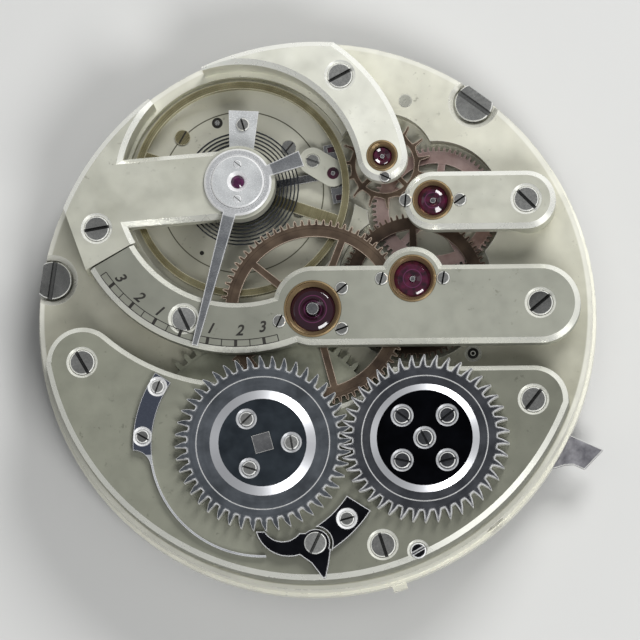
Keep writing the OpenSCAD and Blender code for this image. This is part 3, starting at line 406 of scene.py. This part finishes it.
# Frosted nickel of the plate, the bridges and the cocks, in lit and shaded copies: their different
# brightness is painted light, paler towards the top of the movement and darker towards its bottom
plate_mat = frosted("plate_nickel", "#e4e3d4", "#a5a391", "#5c5a4a", "#ecebe0", fade=("Y", -6.0, 20.0),
                    scribed=(BALANCE, 6.3, SINK_FLOOR), brink=0.12, rim=20.85)
barrel_bridge_mat = frosted("barrel_bridge_nickel", "#8e8f81", "#727367", "#4c4d42", "#ecece2",
                            fade=("X", 16.0, -14.0))
train_bridge_mat = frosted("train_bridge_nickel", "#a2a397", "#84857a", "#5f5f50", "#f0f0e6",
                           fade=("X", -4.0, 6.0))
cock_mat = frosted("cock_nickel", "#c8c8bb", "#b2b2a4", "#6d6b5c", "#f6f6ee")
escape_cock_mat = frosted("escape_cock_nickel", "#e9e9dd", "#d5d5c8", "#7d7b6c", "#fafaf2")

# Barrel, gilt pieces and wheels
barrel_mat = toned("barrel_nickel", "#a9aa98", "#888978", rough=(0.34, 0.5), centre=BARREL, metallic=0.6)
gilt_mat = toned("gilt", "#b99b5c", "#8d7240", rough=(0.22, 0.34), edge="#dcc58a")
rim_mat = toned("balance_gilt", "#b8b08a", "#8b8260", rough=(0.2, 0.34), centre=BALANCE, edge="#efe9cc",
                brink=0.1)
setting_mat = toned("gold_setting", "#ab8f66", "#74593a", rough=(0.14, 0.26), edge="#ab9470", brink=0.06,
                    edge_metal=0.8)
copper_mat = toned("copper_wheel", "#857260", "#584a40", rough=(0.26, 0.42), centre=CENTRE, edge="#ecd6c2",
                   brink=0.12)
# Painted shade: a darker copy of the copper, for the third wheel lying in the shade of the bridges
third_shaded_copper_mat = toned("third_copper_shaded", "#665649", "#41362f", rough=(0.3, 0.46), centre=THIRD, edge="#c4ad9b",
                  brink=0.08)
# The fourth wheel's own pink, made paler as painted light against the shade of its sink
pink_mat = toned("pink_wheel", "#dcc2ba", "#b09088", rough=(0.24, 0.4), centre=FOURTH, edge="#f0dcd4",
                 brink=0.1)

# Steel pieces; their slot colours are painted shade deep in the screws' slots
# On the bush the dark disc is painted shade in its hollow, and the thin pale circle a painted highlight
pin_mat = toned("pin_steel", "#b9b9ae", "#98988e", rough=(0.24, 0.4), metallic=0.4, edge="#e6e6de",
                brink=0.08, inner=(BUSH, 0.4, "#1c1c1a"), line=(BUSH, 0.17))
steel_mat = toned("screw_steel", "#cfcfcb", "#646462", rough=(0.2, 0.34), edge="#ecece8", slot="#141414",
                  patch=9.0)
dark_steel_mat = toned("dark_screw_steel", "#6c6d70", "#404144", rough=(0.18, 0.3), edge="#ecece8",
                       slot="#0c0c0c")
pale_steel_mat = toned("pale_steel", "#dcdede", "#bfc1c2", rough=(0.18, 0.32), metallic=0.4, edge="#f6f6f6",
                       slot="#2a2a2a", brink=0.08)
# The paler disc round the balance is painted reflection on the shiny index ring
index_mat = toned("index_steel", "#8c8e90", "#66686c", rough=(0.2, 0.34), metallic=0.5, edge="#ffffff",
                  brink=0.16, inner=(BALANCE, 2.75, "#c6c7c8"))
arbor_mat = toned("arbor_steel", "#a3a3a3", "#6e6f72", rough=(0.16, 0.3), edge="#ecece8", brink=0.08)
lever_mat = toned("setting_lever_steel", "#96959a", "#5d5c62", rough=(0.3, 0.44), metallic=0.4,
                  edge="#ecece8", brink=0.16, patch=0.8)
# The blade's pale colour is a painted highlight; the dark colour of the foot is its own
spring_mat = toned("click_spring_steel", "#d4d6d8", "#b4b6ba", rough=(0.2, 0.32), metallic=0.6,
                   edge="#f4f4f4", brink=0.1, inner=(SPRING_FOOT, 3.6, "#4c515e"))
blued_mat = toned("hair_steel", "#55585e", "#2f3238", rough=(0.18, 0.3))

# Winding wheels with their caps, and the click; their pale tooth walls are painted light, and the circles at
# the grooves, the tooth feet and the edges painted highlights
ratchet_mat = toned("ratchet_steel", "#757a80", "#52565b", rough=(0.26, 0.44), centre=BARREL, edge="#f6f6f6",
                    wall="#d8d8d4", line=(BARREL, 5.1), gullets=(BARREL, 5.9), brink=0.08)
crown_mat = toned("crown_steel", "#606267", "#404247", rough=(0.26, 0.44), centre=CROWN, edge="#f6f6f6",
                  wall="#d8d8d4", line=(CROWN, 4.82), gullets=(CROWN, 6.15), brink=0.08)
cap_mat = toned("black_cap", "#616a72", "#454c53", rough=(0.1, 0.2), centre=BARREL, metallic=1.0,
                edge="#e2e3e6", edge_metal=0.85)
core_mat = toned("black_core", "#1a1b20", "#0e0f12", rough=(0.08, 0.16), centre=CROWN, metallic=1.0,
                 edge="#e2e3e6", edge_metal=0.85)
click_mat = toned("black_click", "#34353b", "#1a1b1f", rough=(0.08, 0.2), metallic=1.0, edge="#f4f4f4",
                  brink=0.18, edge_metal=0.3, patch=3.0)

# Stones
ruby_mat = jewel("ruby", "#560a32", "#1e0411", shade=(CENTRE, 2.0, "#2a0719"), ring="#5e274c",
                 rings=((CENTRE, 1.05), (CENTRE, 0.65), (THIRD, 0.7), (FOURTH, 0.6)))
stone_mat = jewel("end_stone", "#5b1a4c", "#2d0a28")

# Engraved lines, and dark marks of painted shade in holes and screw slots
ink_and_shade_mat = toned("engraving", "#2b2823", "#15130f", rough=(0.5, 0.7), metallic=0.2)

LOOKS = {
    plate_mat: ["main_plate"],
    barrel_bridge_mat: ["barrel_bridge"],
    train_bridge_mat: ["train_bridge"],
    cock_mat: ["balance_cock", "fourth_cock", "pallet_cock"],
    escape_cock_mat: ["escape_cock"],
    barrel_mat: ["barrel_drum", "barrel_cover"],
    gilt_mat: ["hair_collet", "minute_wheel", "hour_wheel"],
    rim_mat: ["balance_wheel"],
    setting_mat: ["centre_setting", "third_setting", "fourth_setting", "escape_setting"],
    copper_mat: ["centre_wheel", "escape_wheel"],
    third_shaded_copper_mat: ["third_wheel"],
    pink_mat: ["fourth_wheel"],
    pin_mat: ["plate_pins"],
    steel_mat: ["case_screws", "bridge_screws", "jewel_screws", "ratchet_screws", "click_screw",
                "winding_screws", "pallet_cock_screw", "stud_screw", "setting_lever_screw"],
    dark_steel_mat: ["crown_screws"],
    pale_steel_mat: ["endstone_cap", "cap_screws", "stud_carrier"],
    index_mat: ["index"],
    arbor_mat: ["barrel_arbor", "centre_arbor", "third_arbor", "fourth_arbor", "escape_arbor",
                "pallet_arbor", "pallet_lever", "balance_staff", "roller", "cannon_pinion", "mainspring"],
    lever_mat: ["setting_lever"],
    spring_mat: ["click_spring"],
    blued_mat: ["hairspring"],
    ratchet_mat: ["ratchet_wheel"],
    crown_mat: ["crown_wheel"],
    cap_mat: ["ratchet_cap"],
    core_mat: ["crown_core"],
    click_mat: ["click", "click_bridle", "detent_screw"],
    ruby_mat: ["train_jewels", "pallet_stones"],
    stone_mat: ["endstone"],
}
for material, names in LOOKS.items():
    for name in names:
        mesh = nodes[name].data
        mesh.materials.clear()
        mesh.materials.append(material)


# Pieces that only the scene has
def add_mesh(name, points, faces, material, body):
    """A new piece in the frame of the part, from points in millimetres."""
    mesh = bpy.data.meshes.new(name)
    mesh.from_pydata([tuple(v * MM for v in p) for p in points], [], faces)
    mesh.validate()
    mesh.update()
    piece = bpy.data.objects.new(name, mesh)
    scene.collection.objects.link(piece)
    mesh.materials.append(material)
    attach(piece, body)
    return piece


def prism(points, faces, outline, low, high):
    """Adds an upright prism on a flat outline to a mesh's points and faces."""
    start = len(points)
    size = len(outline)
    points.extend((x, y, z) for z in (low, high) for x, y in outline)
    faces.append(tuple(start + i for i in reversed(range(size))))
    faces.append(tuple(start + size + i for i in range(size)))
    for i in range(size):
        j = (i + 1) % size
        faces.append((start + i, start + j, start + size + j, start + size + i))


def add_prism(name, outline, low, high, material):
    """One upright prism on the plate's body."""
    points = []
    faces = []
    prism(points, faces, outline, low, high)
    return add_mesh(name, points, faces, material, "plate")


def stroke(a, b, width):
    """Outline of a straight stroke between two points."""
    along = Vector((b[0] - a[0], b[1] - a[1])).normalized() * (width / 2)
    left = (-along.y, along.x)
    right = (along.y, -along.x)
    return [plus(a, right), plus(b, right), plus(b, left), plus(a, left)]


def circle_points(place, radius, sides=24):
    return [plus(place, polar(radius, 360 * i / sides)) for i in range(sides)]


# Hairspring with its full number of coils, in the place of the plainer solid
HAIR_TURNS = 13
HAIR_STEPS = 48
HAIR_IN = 0.95
HAIR_OUT = 4.55
HAIR_WIDTH = 0.1
HAIR_LOW = 2.64
HAIR_HEIGHT = 0.26
HAIR_END = 87.0
# Corners of the strip's section: side of its middle line, and low or high
HAIR_CORNERS = ((-1, 0), (1, 0), (1, 1), (-1, 1))
count = HAIR_TURNS * HAIR_STEPS
corners = len(HAIR_CORNERS)
points = []
faces = []
for i in range(count + 1):
    angle = HAIR_END - (count - i) * 360 / HAIR_STEPS
    middle = HAIR_IN + (HAIR_OUT - HAIR_IN) * i / count
    for side, level in HAIR_CORNERS:
        x, y = plus(BALANCE, polar(middle + side * HAIR_WIDTH / 2, angle))
        points.append((x, y, HAIR_LOW + level * HAIR_HEIGHT))
for i in range(count):
    for k in range(corners):
        a = corners * i + k
        b = corners * i + (k + 1) % corners
        faces.append((a, b, b + corners, a + corners))
faces.append(tuple(reversed(range(corners))))
faces.append(tuple(corners * count + k for k in range(corners)))
hair = add_mesh("hairspring_coils", points, faces, blued_mat, "plate")
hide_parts("hairspring")

# Small fastenings on the floor of the balance's sink: screws whose slots are dark marks of painted shade, a
# hole painted as a dark mark of shade round a pin, and a dot
MARK_DEPTH = 0.01
SINK_HEAD = SINK_FLOOR + 0.1
SINK_SLOT_WIDTH = 0.12
SINK_SLOT_SHARE = 0.92
SINK_HOLE = (-7.66, 15.31)
SINK_HOLE_R = 0.42
SINK_PIN_R = 0.2
SINK_PIN_TOP = SINK_FLOOR + 0.05
SINK_DOT = (-8.83, 5.13)
SINK_DOT_R = 0.17
# Each screw's place, radius, turn, material, and the name of its material slot
SINK_SCREWS = (
    ((-10.34, 14.19), 0.6, 60, rim_mat, "gilt_brass"),
    ((-2.11, 13.29), 0.55, 50, steel_mat, "polished_steel"),
    ((-1.27, 8.37), 0.5, 110, steel_mat, "polished_steel"),
)


def add_mark(name, outline, height):
    """A dark mark in a level face, painted shade where it stands for a slot or a hole."""
    return add_prism(name, outline, height - MARK_DEPTH, height + MARK_DEPTH, ink_and_shade_mat)


for number, (place, radius, turn, material, slot) in enumerate(SINK_SCREWS):
    add_prism("sink_screw_%d" % number, circle_points(place, radius), SINK_FLOOR, SINK_HEAD, material)
    ends = [plus(place, polar(radius * SINK_SLOT_SHARE, a)) for a in (turn, turn + 180)]
    add_mark("sink_slot_%d" % number, stroke(*ends, SINK_SLOT_WIDTH), SINK_HEAD)
add_mark("sink_hole", circle_points(SINK_HOLE, SINK_HOLE_R), SINK_FLOOR)
add_prism("sink_pin", circle_points(SINK_HOLE, SINK_PIN_R), SINK_FLOOR, SINK_PIN_TOP, steel_mat)
add_mark("sink_dot", circle_points(SINK_DOT, SINK_DOT_R), SINK_FLOOR)

# Engraved scale of the index on the train bridge: two arcs, ticks and numbers
SCALE_FROM = 214.1
SCALE_TO = 284.4
SCALE_IN = 12.2
SCALE_OUT = 12.72
SCALE_STEPS = 60
DIVISION = 5.02
ARC_WIDTH = 0.06
LIGHT_TICK = 0.07
HEAVY_TICK = 0.24
NUMBER_SIZE = 1.15
NUMBER_SLANT = 0.3
NUMBER_WEIGHT = 0.025
# Each number with its angle and its radius round the balance
NUMBERS = (("3", 218.8, 11.6), ("2", 229.2, 11.6), ("1", 238.5, 11.6),
           ("1", 259.3, 11.5), ("2", 270.6, 11.5), ("3", 279.3, 11.4))


def on_scale(radius, angle):
    return plus(BALANCE, polar(radius, angle))


strokes = []
for radius in (SCALE_IN, SCALE_OUT):
    marks = [SCALE_FROM + (SCALE_TO - SCALE_FROM) * i / SCALE_STEPS for i in range(SCALE_STEPS + 1)]
    for a, b in zip(marks, marks[1:]):
        strokes.append(stroke(on_scale(radius, a), on_scale(radius, b), ARC_WIDTH))
# Every second division is a heavy stroke
for i in range(round((SCALE_TO - SCALE_FROM) / DIVISION) + 1):
    a = SCALE_FROM + DIVISION * i
    tick = HEAVY_TICK if i % 2 else LIGHT_TICK
    strokes.append(stroke(on_scale(SCALE_IN, a), on_scale(SCALE_OUT, a), tick))
points = []
faces = []
for outline in strokes:
    prism(points, faces, outline, BRIDGE_TOP - MARK_DEPTH, BRIDGE_TOP + MARK_DEPTH)
add_mesh("scale_engraving", points, faces, ink_and_shade_mat, "plate")

for label, angle, radius in NUMBERS:
    curve = bpy.data.curves.new("scale_number", "FONT")
    curve.body = label
    curve.size = NUMBER_SIZE * MM
    curve.shear = NUMBER_SLANT
    curve.offset = NUMBER_WEIGHT * MM
    curve.align_x = "CENTER"
    curve.align_y = "CENTER"
    curve.extrude = MARK_DEPTH * MM
    curve.resolution_u = 4
    text = bpy.data.objects.new("number_%s_%d" % (label, angle), curve)
    scene.collection.objects.link(text)
    x, y = on_scale(radius, angle)
    text.location = (x * MM, y * MM, BRIDGE_TOP * MM)
    text.rotation_euler = (0, 0, math.radians(angle + 90))
    curve.materials.append(ink_and_shade_mat)
    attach(text, "plate")

# Floor
FLOOR_SIZE = 2000.0
FLOOR_GAP = 0.2
FLOOR_TONE = 30.0
bpy.ops.mesh.primitive_plane_add(size=FLOOR_SIZE * MM, location=(0, 0, cad_box[0].z - FLOOR_GAP * MM))
floor = bpy.context.object
floor.name = "floor"
floor_look = Look("floor_pale")
floor_colour = floor_look.mix(floor_look.noise(FLOOR_TONE), linear("#c8c8c6"), linear("#cdcdcb"))
floor.data.materials.append(floor_look.set(Base_Color=floor_colour, Roughness=0.9))

# Light
SKY_COLOUR = (0.9, 0.92, 0.95, 1.0)
SKY_STRENGTH = 0.3
world = bpy.data.worlds.new("studio")
scene.world = world
world.use_nodes = True
sky = world.node_tree.nodes["Background"]
sky.inputs["Color"].default_value = SKY_COLOUR
sky.inputs["Strength"].default_value = SKY_STRENGTH


def lamp(name, place, size, power):
    """A round lamp that shines at the middle of the part."""
    data = bpy.data.lights.new(name, "AREA")
    data.shape = "DISK"
    data.size = size * MM
    data.energy = power
    holder = bpy.data.objects.new(name, data)
    scene.collection.objects.link(holder)
    holder.location = Vector(place) * MM
    holder.rotation_mode = "QUATERNION"
    holder.rotation_quaternion = (-Vector(place)).to_track_quat("-Z", "Y")


lamp("key", place=(160, 300, 280), size=200, power=1.45)
lamp("fill", place=(-360, 80, 200), size=300, power=0.1)
lamp("low", place=(150, -220, 320), size=180, power=1.0)
lamp("glow", place=(360, -360, 60), size=300, power=0.28)

# Camera at the photograph's angle: a little below the object's middle and to its right
TILT = math.radians(10.0)
FROM_SIDE = math.radians(22.0)
DISTANCE = 600.0
AIM = Vector((0.57, -0.88, BRIDGE_TOP)) * MM
PICTURE_PX = 640
PX_PER_MM = 13.1
SENSOR = 36.0
NEAREST = 10.0
FARTHEST = 10000.0
back = Vector((math.sin(TILT) * math.sin(FROM_SIDE), -math.sin(TILT) * math.cos(FROM_SIDE), math.cos(TILT)))
camera_data = bpy.data.cameras.new("camera")
camera = bpy.data.objects.new("camera", camera_data)
scene.collection.objects.link(camera)
scene.camera = camera
camera.location = AIM + back * DISTANCE * MM
z_axis = back.normalized()
x_axis = Vector((0.0, 1.0, 0.0)).cross(z_axis).normalized()
y_axis = z_axis.cross(x_axis)
rotation = [[x_axis[i], y_axis[i], z_axis[i]] for i in range(3)]
camera.rotation_mode = "QUATERNION"
camera.rotation_quaternion = Matrix(rotation).to_quaternion()
camera_data.sensor_width = SENSOR
camera_data.lens = SENSOR * DISTANCE / (PICTURE_PX / PX_PER_MM)
camera_data.clip_start = NEAREST * MM
camera_data.clip_end = FARTHEST * MM

scene.view_settings.view_transform = "Standard"
